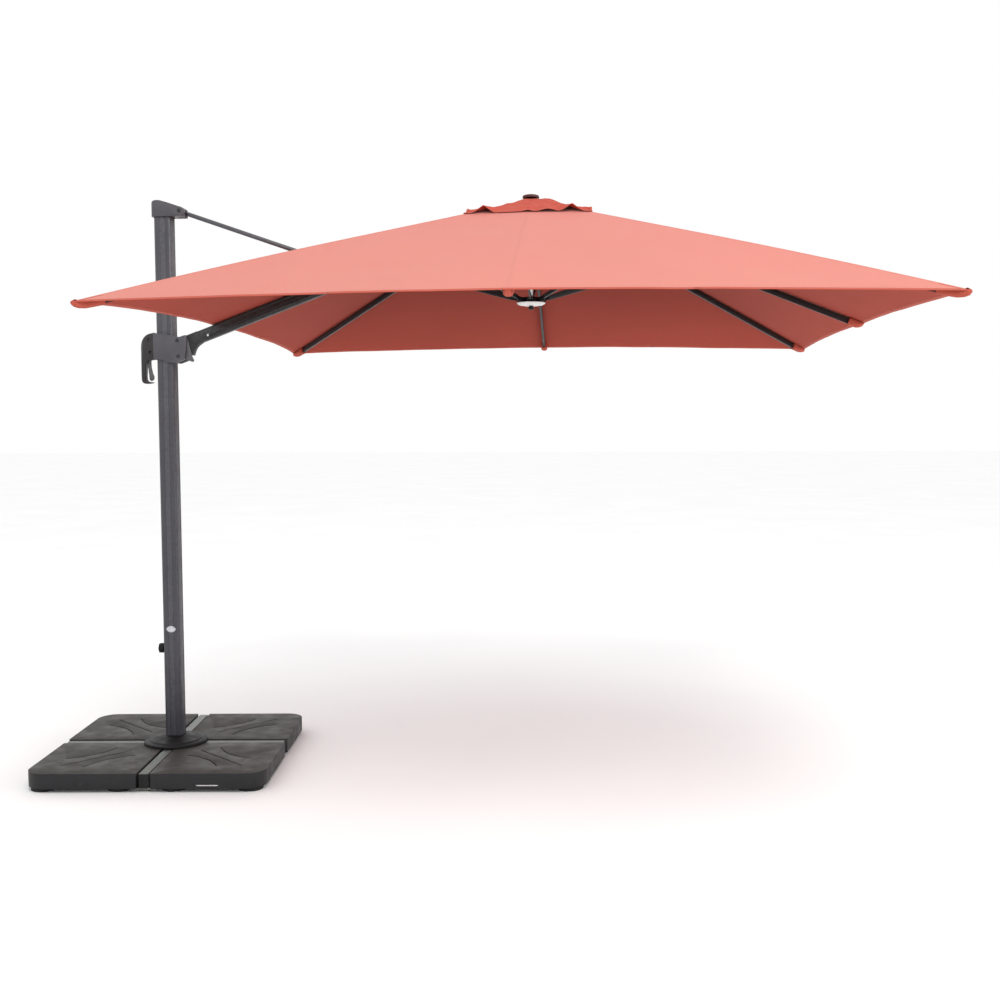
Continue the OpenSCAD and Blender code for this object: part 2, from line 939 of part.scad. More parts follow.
module hub_post() {
  color("silver")
    translate([hub_x, 0, runner_pin_z + 14])
      difference() {
        cylinder(r = 8.5, h = hub_pin_z - 24 - runner_pin_z - 14, $fn = round_fn);
        translate([0, 0, -1])
          cylinder(r = 7, h = 200, $fn = round_fn);
      }
}

module crown_button() {
  color("black")
    translate([hub_x, 0, crown_z + 34.2])
      rotate_extrude($fn = round_fn)
        polygon([[0, 0], [30, 0], [33, -7], [38, -7], [38, -1], [35, 4], [24, 7], [0, 8]]);
}

// ---- ribs ----

// Frame of one rib: origin on its hub pin, X along the rib.
module at_rib(azimuth, angle) {
  at_hub(azimuth)
    translate([ring_radius, 0, hub_pin_z])
      rotate([0, angle, 0])
        children();
}

// A point given by reach and height, in that frame.
function on_rib(reach, z, angle) = [
  (reach - ring_radius) * cos(angle) - (z - hub_pin_z) * sin(angle),
  (reach - ring_radius) * sin(angle) + (z - hub_pin_z) * cos(angle)
];

// A band of a rib seen from the side: straight to the knee, then bent down a little towards its end.
module rib_profile(from, to, knee, bent, low, high) {
  fall = bent * (to - knee);
  first = max(from, knee);
  if (from < knee)
    polygon([[from, low], [from, high], [knee, high], [to, high - fall], [to, low - fall], [knee, low]]);
  else
    polygon([
      [first, low - bent * (first - knee)], [first, high - bent * (first - knee)],
      [to, high - fall], [to, low - fall]
    ]);
}

module rib(azimuth, slope, reach, pin_reach, pin_z, bend) {
  angle = atan(slope);
  bent = hem_drop * cos(angle) * cos(angle) / bend;
  knee = on_rib(reach - bend, crown_z - slope * (reach - bend), angle)[0];
  axis_start = on_rib(ring_radius, crown_z - slope * ring_radius, angle);
  end = on_rib(reach, crown_z - slope * reach, angle)[0] - rib_margin;
  pin = on_rib(pin_reach, pin_z, angle);
  half = rib_depth / 2;
  lift = axis_start[1];
  start = 40;
  wall = 1.6;
  color("black")
    at_rib(azimuth, angle)
      difference() {
        union() {
          difference() {
            upright(rib_width)
              rib_profile(start, end, knee, bent, lift - half, lift + half);
            upright(rib_width - 2 * wall)
              rib_profile(start - 1, end - 12, knee, bent, lift - half + wall, lift + half - wall);
          }
          upright(rib_width - 3)
            rib_profile(end - 6, end + 12, knee, bent, lift - half + 4, lift + half - 4);
          upright(6)
            union() {
              circle(r = 8.5, $fn = small_fn);
              polygon([
                [-8.4, 1], [start - 22, lift + half - 1], [start + 80, lift + half - 1],
                [start + 80, lift - half + 1], [start, lift - half + 1], [8, -3]
              ]);
            }
          if (pin[1] < lift - half)
            upright(8)
              union() {
                translate([pin[0], pin[1]])
                  circle(r = 8, $fn = small_fn);
                polygon([
                  [pin[0] - 8, pin[1]], [pin[0] + 8, pin[1]], [pin[0] + 20, lift - half + 1],
                  [pin[0] - 20, lift - half + 1]
                ]);
              }
          translate([pin[0], 0, pin[1]])
            cross_rod(pin_radius, 20);
        }
        cross_rod(pin_radius + slop, 20);
      }
}

module side_rib(azimuth) {
  rib(azimuth, side_slope, half_side, side_pin_reach, side_pin_z, 0.75 * hem_band);
}

module corner_rib(azimuth) {
  rib(azimuth, corner_slope, corner_reach, corner_pin_reach, corner_pin_z, 1.25 * hem_band);
}

module rib_right() { side_rib(0); }
module rib_back_right() { corner_rib(45); }
module rib_back() { side_rib(90); }
module rib_back_left() { corner_rib(135); }
module rib_front_left() { corner_rib(225); }
module rib_front() { side_rib(270); }
module rib_front_right() { corner_rib(315); }

// ---- struts ----

// A forked bar from the rib's pin to the runner's pin.
module strut(azimuth, pin_reach, pin_z, fork_gap, fork_thick, fork_long, own_pin) {
  run = pin_reach - ring_radius;
  rise = pin_z - runner_pin_z;
  long = norm([run, rise]);
  angle = 180 - atan2(rise, run);
  half = 9;
  color("black")
    at_hub(azimuth)
      translate([pin_reach, 0, pin_z])
        rotate([0, angle, 0])
          difference() {
            union() {
              for (side = [-1, 1])
                upright(fork_thick, side * (fork_gap + fork_thick / 2))
                  union() {
                    circle(r = half, $fn = small_fn);
                    translate([0, -half])
                      square([fork_long, 2 * half]);
                  }
              translate([fork_long - 12, -fork_gap - fork_thick, -half])
                cube([14, 2 * (fork_gap + fork_thick), 2 * half]);
              translate([fork_long - 2, -4, -half])
                cube([long - fork_long - 24, 8, 2 * half]);
              upright(6)
                union() {
                  translate([long - 34, -7])
                    square([34, 14]);
                  translate([long, 0])
                    circle(r = 7, $fn = small_fn);
                }
              if (own_pin)
                translate([long, 0, 0])
                  cross_rod(pin_radius, 15);
            }
            cross_rod((fork_gap > 20 ? 4 : pin_radius) + slop, 100);
            if (!own_pin)
              translate([long, 0, 0])
                cross_rod(pin_radius + slop, 40);
          }
}

module side_strut(azimuth) {
  strut(azimuth, side_pin_reach, side_pin_z, rib_width / 2 + 0.4, 2.6, 104, false);
}

module corner_strut(azimuth) {
  strut(azimuth, corner_pin_reach, corner_pin_z, rib_width / 2 + 0.4, 2.6, 40, true);
}

module strut_right() { side_strut(0); }
module strut_back_right() { corner_strut(45); }
module strut_back() { side_strut(90); }
module strut_back_left() { corner_strut(135); }
module strut_left() { strut(180, side_pin_reach, side_pin_z, 28.5, 4, 205, false); }
module strut_front_left() { corner_strut(225); }
module strut_front() { side_strut(270); }
module strut_front_right() { corner_strut(315); }

// ---- runner ----

module runner() {
  slot = 24;
  color("black")
    difference() {
      union() {
        translate([hub_x, 0, runner_pin_z - 14])
          cylinder(r = 42, h = 24, $fn = round_fn);
        for (azimuth = [0, 90, 180, 270])
          at_hub(azimuth)
            ears(runner_pin_z, hub_ear_gap, 3.6, 38, ring_radius + 8, 8);
        for (azimuth = corner_azimuths)
          at_hub(azimuth)
            ears(runner_pin_z - 2, hub_ear_gap, 3.6, 38, ring_radius + slot, 10.5);
      }
      translate([hub_x, 0, runner_pin_z - 4])
        cylinder(r = 24, h = 40, $fn = round_fn);
      for (azimuth = [0 : 45 : 315])
        at_hub(azimuth)
          translate([ring_radius - 12, -hub_ear_gap, runner_pin_z - 9])
            cube([60, 2 * hub_ear_gap, 60]);
      for (azimuth = [0, 90, 180, 270])
        at_hub(azimuth)
          translate([ring_radius, 0, runner_pin_z])
            cross_rod(pin_radius + slop, 40);
      for (azimuth = corner_azimuths)
        at_hub(azimuth)
          translate([ring_radius - pin_radius - 1, -20, runner_pin_z - 8.3])
            cube([slot - 0.5, 40, 8.3 + pin_radius + 1]);
    }
}

module runner_pins() {
  color("silver")
    for (azimuth = [0, 90, 180, 270])
      at_hub(azimuth)
        translate([ring_radius, 0, runner_pin_z])
          cross_rod(pin_radius, 2 * (hub_ear_gap + 3.6) + 2);
}

module runner_dish() {
  low = runner_pin_z - 27;
  color("silver")
    translate([hub_x, 0, low])
      rotate_extrude($fn = wide_fn)
        polygon([[0, 0], [36, 0], [54, 3], [63, 8], [66, 12], [66, 13], [0, 13]]);
}

module runner_knob() {
  color("black")
    translate([hub_x, 0, runner_pin_z - 45])
      rotate_extrude($fn = round_fn)
        polygon([[0, 0], [9, 0], [12, 3], [12, 12], [8, 17.8], [0, 17.8]]);
}

// ---- canopy ----

function clamp01(value) = min(1, max(0, value));

// Extra height of the cloth where it lies over the boom.
function boom_lift(along, across) =
  7 * clamp01((along - 100) / 30) * (1 - clamp01((across - 24) / max(1, 0.4142 * along - 24)));

// Height of the cloth's upper face; along is the larger plan distance and across the smaller one.
function cloth_z(along, across, lifted) =
  cloth_top - cloth_fall * along - cloth_tilt * across + (lifted ? boom_lift(along, across) : 0);

// Fall in the outer band. The stiff boom holds the canopy up on its side, so there it fades towards the boom.
function hem_fall(out, point, boom_side) =
  let (x = abs(point[0]), y = abs(point[1]), part = min(x, y) / max(x, y, 1))
  let (held = (boom_side == 1 && x >= y) || (boom_side == 2 && y >= x))
  hem_drop * pow(clamp01(1 - (half_side - out) / hem_band), 2) * (held ? 1 - pow(1 - part, 2) : 1);

// Plan distance of the hem point that belongs to a place between a side rib and a corner rib.
function swept(step, part, full) = full * step - 4 * hem_sweep * part * (1 - part) * pow(step, 3);

// Plan point of one panel: side in -1..1 runs across the panel, step in 0..1 from crown to hem.
function side_point(step, side, full) =
  let (part = 0.4142 * abs(side), along = swept(step, part, full))
  [along, along * part * sign(side)];

function corner_point(step, side, full) =
  let (part = 1 - 0.5858 * abs(side), along = swept(step, part, full))
  side >= 0 ? [along * part, along] : [along, along * part];

function panel_z(point, lifted, lift) =
  let (a = max(abs(point[0]), abs(point[1])), b = min(abs(point[0]), abs(point[1])))
  cloth_z(a, b, lifted) + lift;

// A thin closed patch of cloth between two steps, as wide as one panel.
module patch(corner, lifted, steps, full, lift, boom_side) {
  columns = 8;
  rows = len(steps) - 1;
  sides = [for (j = [0 : columns]) -1 + 2 * j / columns];
  plan = [for (s = steps, u = sides) corner ? corner_point(s, u, full) : side_point(s, u, full)];
  places = [for (s = steps, u = sides) s];
  falls = [for (i = [0 : len(plan) - 1]) hem_fall(places[i] * full, plan[i], boom_side)];
  top = [for (i = [0 : len(plan) - 1]) [plan[i][0], plan[i][1], panel_z(plan[i], lifted, lift) - falls[i]]];
  bottom = [for (p = top) [p[0], p[1], p[2] - cloth_thick]];
  w = columns + 1;
  n = w * (rows + 1);
  faces = concat(
    [for (i = [0 : rows - 1], j = [0 : columns - 1]) [i * w + j, i * w + j + 1, (i + 1) * w + j + 1]],
    [for (i = [0 : rows - 1], j = [0 : columns - 1]) [i * w + j, (i + 1) * w + j + 1, (i + 1) * w + j]],
    [for (i = [0 : rows - 1], j = [0 : columns - 1])
      [n + i * w + j, n + (i + 1) * w + j + 1, n + i * w + j + 1]],
    [for (i = [0 : rows - 1], j = [0 : columns - 1])
      [n + i * w + j, n + (i + 1) * w + j, n + (i + 1) * w + j + 1]],
    [for (j = [0 : columns - 1]) [j, n + j, n + j + 1, j + 1]],
    [for (j = [0 : columns - 1])
      [rows * w + j, rows * w + j + 1, n + rows * w + j + 1, n + rows * w + j]],
    [for (i = [0 : rows - 1]) [i * w, (i + 1) * w, n + (i + 1) * w, n + i * w]],
    [for (i = [0 : rows - 1])
      [i * w + columns, n + i * w + columns, n + (i + 1) * w + columns, (i + 1) * w + columns]]
  );
  polyhedron(points = concat(top, bottom), faces = faces);
}

// Steps from crown to hem: close together where the cloth rises over the boom.
cloth_steps = concat([0.07, 0.088], [for (i = [1 : 12]) 0.088 + 0.076 * i]);
vent_steps = [for (i = [0 : 4]) 0.15 + 0.2125 * i];

module panel(azimuth, corner, boom_side = 0, lifted = false) {
  color("salmon")
    at_hub(azimuth)
      union() {
        patch(corner, lifted, cloth_steps, half_side, 0, boom_side);
        patch(corner, false, vent_steps, vent_half, lifted ? 13 : 9, 0);
      }
}

module canopy_right() { panel(0, false); }
module canopy_back_right() { panel(0, true); }
module canopy_back() { panel(90, false); }
module canopy_back_left() { panel(90, true, 2); }
module canopy_left() {
  difference() {
    panel(180, false, 1, true);
    translate([joint_x - 150, -32, joint_z - 60])
      cube([390, 64, 400]);
  }
}
module canopy_front_left() { panel(180, true, 1); }
module canopy_front() { panel(270, false); }
module canopy_front_right() { panel(270, true); }

base_cross();
base_stub();
slab_front_left();
slab_front_right();
slab_back_left();
slab_back_right();
slab_feet();
base_bolts();
arm_plugs();
rosette();
mast_tube();
mast_bushings();
mast_head();
badge();
lock_knob();
stay_tube();
stay_fittings();
stay_pins();
boom_tube();
boom_root();
boom_yoke();
boom_rivets();
carriage_sleeve();
grip();
carriage_screws();
pivot_pin();
release_lever();
latch_pin();
tilt_lever();
hub();
hub_pins();
hub_post();
crown_button();
rib_right();
rib_back_right();
rib_back();
rib_back_left();
rib_front_left();
rib_front();
rib_front_right();
strut_right();
strut_back_right();
strut_back();
strut_back_left();
strut_left();
strut_front_left();
strut_front();
strut_front_right();
runner();
runner_pins();
runner_dish();
runner_knob();
canopy_right();
canopy_back_right();
canopy_back();
canopy_back_left();
canopy_left();
canopy_front_left();
canopy_front();
canopy_front_right();
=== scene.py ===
import json
import math

import bmesh
import bpy
from mathutils import Matrix, Vector, noise


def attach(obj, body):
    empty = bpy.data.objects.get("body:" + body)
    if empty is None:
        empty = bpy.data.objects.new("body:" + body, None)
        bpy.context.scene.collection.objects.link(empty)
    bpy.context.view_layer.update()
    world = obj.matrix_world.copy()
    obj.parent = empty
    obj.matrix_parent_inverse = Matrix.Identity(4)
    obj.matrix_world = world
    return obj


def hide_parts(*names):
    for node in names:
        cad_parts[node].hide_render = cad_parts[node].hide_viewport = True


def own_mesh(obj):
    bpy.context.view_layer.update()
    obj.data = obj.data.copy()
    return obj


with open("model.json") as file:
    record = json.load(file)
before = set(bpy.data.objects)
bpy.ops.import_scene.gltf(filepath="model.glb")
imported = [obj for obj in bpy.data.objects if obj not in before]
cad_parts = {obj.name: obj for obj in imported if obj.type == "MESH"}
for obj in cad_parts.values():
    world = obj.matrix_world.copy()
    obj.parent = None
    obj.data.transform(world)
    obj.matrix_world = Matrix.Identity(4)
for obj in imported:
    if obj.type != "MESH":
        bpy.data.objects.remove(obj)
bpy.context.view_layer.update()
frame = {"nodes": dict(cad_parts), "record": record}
nodes = frame["nodes"]

# ---- camera, with its angles in radians ----
YAW, PITCH, ROLL = 0.0794, -0.0655, -0.0042
CAMERA_PLACE = Vector((2.0024, -5.3994, 1.6086))
LENS = 41.976
forward = Vector((-math.sin(YAW) * math.cos(PITCH), math.cos(YAW) * math.cos(PITCH), math.sin(PITCH)))
flat_right = Vector((math.cos(YAW), math.sin(YAW), 0))
flat_up = flat_right.cross(forward)
right = flat_right * math.cos(ROLL) + flat_up * math.sin(ROLL)
up = flat_up * math.cos(ROLL) - flat_right * math.sin(ROLL)
camera_data = bpy.data.cameras.new("camera")
camera_data.sensor_width = 36
camera_data.lens = LENS
camera_data.clip_end = 200
camera = bpy.data.objects.new("camera", camera_data)
bpy.context.scene.collection.objects.link(camera)
camera.matrix_world = Matrix((
    (right.x, up.x, -forward.x, CAMERA_PLACE.x),
    (right.y, up.y, -forward.y, CAMERA_PLACE.y),
    (right.z, up.z, -forward.z, CAMERA_PLACE.z),
    (0, 0, 0, 1),
))
bpy.context.scene.camera = camera


# ---- sizes shared with the CAD, in metres ----
# Distance of the crown from the mast, and half the canopy's side.
HUB_X = 1.720
HALF = 1.500
# Height at which the ribs' axes meet the hub's axis, and of the cloth's upper face there.
CROWN = 2.608
CLOTH_TOP = CROWN + 0.018
# Slope of the cloth along a side rib and along a corner rib, and its slope from the one to the other.
FALL = 0.37
CORNER_FALL = 0.2725
TILT = CORNER_FALL * math.sqrt(2) - FALL
# Inward sweep of the hem between two ribs, and how far and over what width the outer band droops.
SWEEP = 0.014
HEM_DROP = 0.017
HEM_BAND = 0.800
# Half the side of the vent cap.
VENT = 0.280
# Distance of the stay's joint on the boom from the mast.
JOINT_X = 0.935
# Turn of the base in degrees.
BASE_TURN = 4.4

# ---- sizes of the cloth pieces ----
# Further inward sweep of the hem beside the boom.
BOOM_SIDE_SWEEP = 0.025
# Half the boom's width with its play, how far it lifts the cloth, and where and how soon that starts.
HALF_BOOM = 0.024
BOOM_LIFT = 0.007
LIFT_START, LIFT_RAMP = 0.100, 0.030
# Height of the vent cap's arches.
ARCH = 0.034
CLOTH_THICK = 0.0011
# Place of a panel's edge between a side rib, at 0, and a corner rib, at 1.
EDGE_PART = 0.4142
# Distances from the rib line of the mesh lines that run beside it.
NEAR_RIB = (0, 0.004, 0.008, 0.014, 0.031)
# Turn of each panel in degrees, and whether it lies on a corner rib.
PANELS = {
    "right": (0, False), "back_right": (0, True), "back": (90, False), "back_left": (90, True),
    "left": (180, False), "front_left": (180, True), "front": (270, False), "front_right": (270, True),
}


# ---- materials ----
class Graph:
    """A small helper that builds a node material."""

    def __init__(self, name):
        self.material = bpy.data.materials.new(name)
        self.material.use_nodes = True
        self.nodes = self.material.node_tree.nodes
        self.links = self.material.node_tree.links
        self.shader = self.nodes["Principled BSDF"]
        self.place = self.nodes.new("ShaderNodeTexCoord").outputs["Object"]

    def add(self, kind, **values):
        made = self.nodes.new(kind)
        for key, value in values.items():
            setattr(made, key, value)
        return made

    def noise(self, scale, detail=4, rough=0.5, stretch=None):
        made = self.add("ShaderNodeTexNoise")
        made.inputs["Scale"].default_value = scale
        made.inputs["Detail"].default_value = detail
        made.inputs["Roughness"].default_value = rough
        source = self.place
        if stretch:
            mapping = self.add("ShaderNodeMapping")
            mapping.inputs["Scale"].default_value = stretch
            self.links.new(source, mapping.inputs["Vector"])
            source = mapping.outputs["Vector"]
        self.links.new(source, made.inputs["Vector"])
        return made.outputs["Fac"]

    def ramp(self, source, low, high, a, b):
        made = self.add("ShaderNodeMapRange")
        made.inputs["From Min"].default_value = low
        made.inputs["From Max"].default_value = high
        made.inputs["To Min"].default_value = a
        made.inputs["To Max"].default_value = b
        self.links.new(source, made.inputs["Value"])
        return made.outputs["Result"]

    def mix(self, factor, a, b):
        made = self.add("ShaderNodeMix", data_type="RGBA")
        self.links.new(factor, made.inputs["Factor"])
        for value, socket in ((a, made.inputs[6]), (b, made.inputs[7])):
            if isinstance(value, tuple):
                socket.default_value = (*value, 1)
            else:
                self.links.new(value, socket)
        return made.outputs[2]

    def math(self, operation, a, b=None):
        made = self.add("ShaderNodeMath", operation=operation)
        for value, socket in ((a, made.inputs[0]), (b, made.inputs[1])):
            if value is None:
                continue
            if isinstance(value, (int, float)):
                socket.default_value = value
            else:
                self.links.new(value, socket)
        return made.outputs[0]

    def bump(self, height, distance, strength=1.0, before=None):
        made = self.add("ShaderNodeBump")
        made.inputs["Distance"].default_value = distance
        made.inputs["Strength"].default_value = strength
        self.links.new(height, made.inputs["Height"])
        if before:
            self.links.new(before, made.inputs["Normal"])
        return made.outputs["Normal"]

    def set(self, **values):
        """Sets or links the shader's sockets and gives the material."""
        for key, value in values.items():
            socket = self.shader.inputs[key.replace("_", " ")]
            if isinstance(value, bpy.types.NodeSocket):
                self.links.new(value, socket)
            elif isinstance(value, tuple):
                socket.default_value = (*value, 1)
            else:
                socket.default_value = value
        return self.material

    def edge_wear(self):
        geometry = self.add("ShaderNodeNewGeometry")
        edges = self.ramp(geometry.outputs["Pointiness"], 0.52, 0.62, 0, 1)
        return self.math("MULTIPLY", edges, self.noise(60, 3))


def coated_metal(name, colour, worn, rough, grain, metallic=0.35, shine=0.5):
    """Powder coat: fine orange-peel grain, cloudy roughness, brighter worn edges."""
    g = Graph(name)
    cloud = g.ramp(g.noise(7, 5), 0.35, 0.65, 0, 1)
    dark = tuple(c * 0.82 for c in colour)
    base = g.mix(cloud, dark, colour)
    base = g.mix(g.edge_wear(), base, worn)
    roughness = g.ramp(g.noise(18, 4), 0.3, 0.7, rough - 0.06, rough + 0.08)
    return g.set(
        Base_Color=base, Roughness=roughness, Metallic=metallic, Specular_IOR_Level=shine,
        Normal=g.bump(g.noise(grain, 2), 0.0003, 0.35),
    )


def moulded(name, colour, rough, grain, dust=(0.35, 0.34, 0.33), dusty=0.25, shine=0.5):
    """Moulded plastic: leather-like pebble grain with a little dust in it."""
    g = Graph(name)
    cells = g.add("ShaderNodeTexVoronoi")
    cells.inputs["Scale"].default_value = grain
    g.links.new(g.place, cells.inputs["Vector"])
    light = tuple(min(1, c * 1.35) for c in colour)
    base = g.mix(g.ramp(g.noise(9, 5), 0.35, 0.7, 0, 1), colour, light)
    base = g.mix(g.ramp(g.noise(3.5, 6, 0.6), 0.58, 0.85, 0, dusty), base, dust)
    roughness = g.ramp(g.noise(25, 4), 0.3, 0.7, rough - 0.07, rough + 0.1)
    fine = g.bump(g.noise(grain * 3, 2), 0.0002, 0.3)
    return g.set(
        Base_Color=base, Roughness=roughness, Specular_IOR_Level=shine,
        Normal=g.bump(cells.outputs["Distance"], 0.0004, 0.4, fine),
    )


def bright_metal(name, colour, rough, stretch):
    """Brushed or zinc-coated metal with fine streaks and cloudy spangle."""
    g = Graph(name)
    spangle = g.add("ShaderNodeTexVoronoi")
    spangle.inputs["Scale"].default_value = 70
    g.links.new(g.place, spangle.inputs["Vector"])
    streak = g.noise(220, 3, 0.6, stretch)
    dark = tuple(c * 0.78 for c in colour)
    base = g.mix(g.ramp(spangle.outputs["Distance"], 0, 0.8, 0, 1), dark, colour)
    roughness = g.ramp(streak, 0.3, 0.7, rough - 0.08, rough + 0.12)
    return g.set(
        Base_Color=base, Roughness=roughness, Metallic=0.9,
        Normal=g.bump(streak, 0.0001, 0.25),
    )


def slab_shell(name):
    """Grained blow-moulded slab shell with scuffs, lighter and browner on its upward faces: painted light
    from above.
    """
    g = Graph(name)
    geometry = g.add("ShaderNodeNewGeometry")
    split = g.add("ShaderNodeSeparateXYZ")
    g.links.new(geometry.outputs["Normal"], split.inputs[0])
    # Painted light: faces that look up get a lighter, browner colour than the sides.
    upward = g.ramp(split.outputs["Z"], 0.3, 0.9, 0, 1)
    cloud = g.ramp(g.noise(5, 6, 0.6), 0.35, 0.7, 0, 1)
    top = g.mix(cloud, (0.025, 0.0215, 0.0195), (0.040, 0.035, 0.0315))
    base = g.mix(upward, (0.014, 0.014, 0.016), top)
    scuff = g.ramp(g.noise(38, 5, 0.7, (1, 4, 1)), 0.62, 0.8, 0, 0.3)
    base = g.mix(scuff, base, (0.085, 0.078, 0.073))
    pebble = g.add("ShaderNodeTexVoronoi")
    pebble.inputs["Scale"].default_value = 330
    g.links.new(g.place, pebble.inputs["Vector"])
    roughness = g.ramp(g.noise(14, 5), 0.3, 0.7, 0.42, 0.62)
    dents = g.bump(g.noise(9, 4), 0.0012, 0.5)
    return g.set(
        Base_Color=base, Roughness=roughness, Specular_IOR_Level=0.32,
        Normal=g.bump(pebble.outputs["Distance"], 0.0006, 0.5, dents),
    )


def woven(name, colour, deep, sheen, shine, stitched=(0.003, 0.017), crown_shade=None):
    """Canopy cloth: plain weave, slubs, faint folds, stitches beside the rib line and along the hem.

    The stitches lie at the two distances in stitched, from the rib line and from the hem. Where
    a colour for painted shade is given, the colour goes over to it towards the crown: painted shade.
    """
    g = Graph(name)
    maps = {}
    for key in ("cloth", "edge"):
        layer = g.nodes.new("ShaderNodeUVMap")
        layer.uv_map = key
        maps[key] = layer.outputs["UV"]
    threads = []
    for direction in ("X", "Y"):
        wave = g.add("ShaderNodeTexWave", wave_type="BANDS", bands_direction=direction)
        wave.inputs["Scale"].default_value = 320
        wave.inputs["Distortion"].default_value = 0.5
        wave.inputs["Detail"].default_value = 1
        g.links.new(maps["cloth"], wave.inputs["Vector"])
        threads.append(wave.outputs["Fac"])
    weave = g.math("MULTIPLY", threads[0], threads[1])
    slubs = []
    for scale in ((6, 90, 1), (90, 6, 1)):
        mapping = g.add("ShaderNodeMapping")
        mapping.inputs["Scale"].default_value = scale
        g.links.new(maps["cloth"], mapping.inputs["Vector"])
        slub = g.add("ShaderNodeTexNoise")
        slub.inputs["Scale"].default_value = 6
        slub.inputs["Detail"].default_value = 5
        slub.inputs["Roughness"].default_value = 0.65
        g.links.new(mapping.outputs["Vector"], slub.inputs["Vector"])
        slubs.append(slub.outputs["Fac"])
    slub = g.math("MULTIPLY", slubs[0], slubs[1])
    base = g.mix(g.ramp(slub, 0.15, 0.38, 0, 1), deep, colour)
    base = g.mix(g.ramp(g.noise(1.7, 4, 0.6), 0.35, 0.7, 0, 0.45), base, tuple(c * 0.92 for c in deep))
    base = g.mix(g.ramp(weave, 0, 1, 0.0, 0.15), base, deep)
    across = g.add("ShaderNodeSeparateXYZ")
    g.links.new(maps["cloth"], across.inputs[0])
    if crown_shade:
        # Painted shade: the colour darkens towards the crown.
        base = g.mix(g.ramp(across.outputs["Y"], 0.2, 1.5, 1, 0), base, crown_shade)
    # Each row of stitches is a thin line cut into short dashes.
    edge = g.add("ShaderNodeSeparateXYZ")
    g.links.new(maps["edge"], edge.inputs[0])
    marks = None
    for source, place in ((across, stitched[0]), (edge, stitched[1])):
        off = g.math("ABSOLUTE", g.math("SUBTRACT", g.math("ABSOLUTE", source.outputs["X"]), place))
        line = g.ramp(off, 0.0003, 0.0006, 1, 0)
        along = g.math("MULTIPLY", source.outputs["Y"], 260)
        dash = g.ramp(g.math("FRACT", along), 0.62, 0.70, 1, 0)
        mark = g.math("MULTIPLY", line, dash)
        marks = mark if marks is None else g.math("MAXIMUM", marks, mark)
    base = g.mix(marks, base, tuple(c * 0.72 for c in deep))
    folds = g.bump(g.noise(2.6, 3, 0.5), 0.006, 0.25)
    fine = g.bump(slub, 0.0008, 0.3, folds)
    sewn = g.bump(g.math("SUBTRACT", 0, marks), 0.0006, 0.6, fine)
    return g.set(
        Base_Color=base, Roughness=g.ramp(slub, 0.15, 0.4, 0.72, 0.88),
        Specular_IOR_Level=shine, Sheen_Weight=sheen, Sheen_Roughness=0.45,
        Normal=g.bump(weave, 0.0003, 0.5, sewn),
    )


ANTHRACITE = coated_metal("anthracite_coat", (0.054, 0.053, 0.064), (0.24, 0.24, 0.26), 0.44, 900, 0.25)
# A darker copy of the anthracite coat for the boom's parts: painted shade for the canopy's shadow on them.
SHADED_ANTHRACITE = coated_metal("anthracite_painted_shade", (0.016, 0.016, 0.017), (0.12, 0.12, 0.12), 0.46, 900, 0.1, 0.35)
BLACK_STEEL = coated_metal("black_coat", (0.008, 0.008, 0.009), (0.09, 0.09, 0.09), 0.42, 1000, 0.0, 0.35)
BLACK_PLASTIC = moulded(
    "black_plastic", (0.0055, 0.0055, 0.0062), 0.50, 900, (0.14, 0.13, 0.13), 0.08, 0.28)
HOUSING = moulded("housing_plastic", (0.052, 0.050, 0.058), 0.38, 900, (0.26, 0.25, 0.25), 0.10)
GRIP = moulded("grip_plastic", (0.022, 0.020, 0.020), 0.46, 900, (0.16, 0.15, 0.15), 0.10, 0.35)
GREY_PLASTIC = moulded("grey_plastic", (0.075, 0.075, 0.080), 0.48, 900)
WHITE_PLASTIC = moulded("white_plastic", (0.66, 0.66, 0.65), 0.40, 700, (0.50, 0.49, 0.47))
BUTTON = moulded("button_plastic", (0.070, 0.020, 0.016), 0.55, 900, (0.20, 0.12, 0.11), 0.2, 0.3)
RUBBER = moulded("foot_rubber", (0.014, 0.014, 0.014), 0.75, 500, (0.25, 0.24, 0.23), 0.2, 0.3)
SLAB = slab_shell("slab_shell")
ZINC = bright_metal("zinc_coat", (0.250, 0.262, 0.245), 0.50, (1, 1, 1))
BRIGHT = bright_metal("satin_aluminium", (0.66, 0.67, 0.69), 0.32, (1, 1, 12))
DARK_METAL = bright_metal("dark_screws", (0.060, 0.060, 0.064), 0.40, (1, 1, 6))
# The upper face's colour darkens towards the crown: painted shade.
CLOTH = woven(
    "canopy_cloth", (0.605, 0.170, 0.122), (0.560, 0.145, 0.102), 0.30, 0.30, crown_shade=(0.560, 0.120, 0.083))
# The cloth's underside: a deeper colour, partly the back face's own and partly painted shade, with more
# painted shade towards the crown.
SHADED_UNDERSIDE = woven(
    "canopy_underside_shaded", (0.405, 0.072, 0.048), (0.360, 0.062, 0.042), 0.0, 0.10, crown_shade=(0.120, 0.020, 0.014))
VENT_CLOTH = woven("vent_cloth", (0.500, 0.078, 0.048), (0.430, 0.064, 0.039), 0.04, 0.15)
TAPE = woven("hem_tape", (0.520, 0.105, 0.070), (0.460, 0.090, 0.060), 0.05, 0.15, (0.002, 0.011))

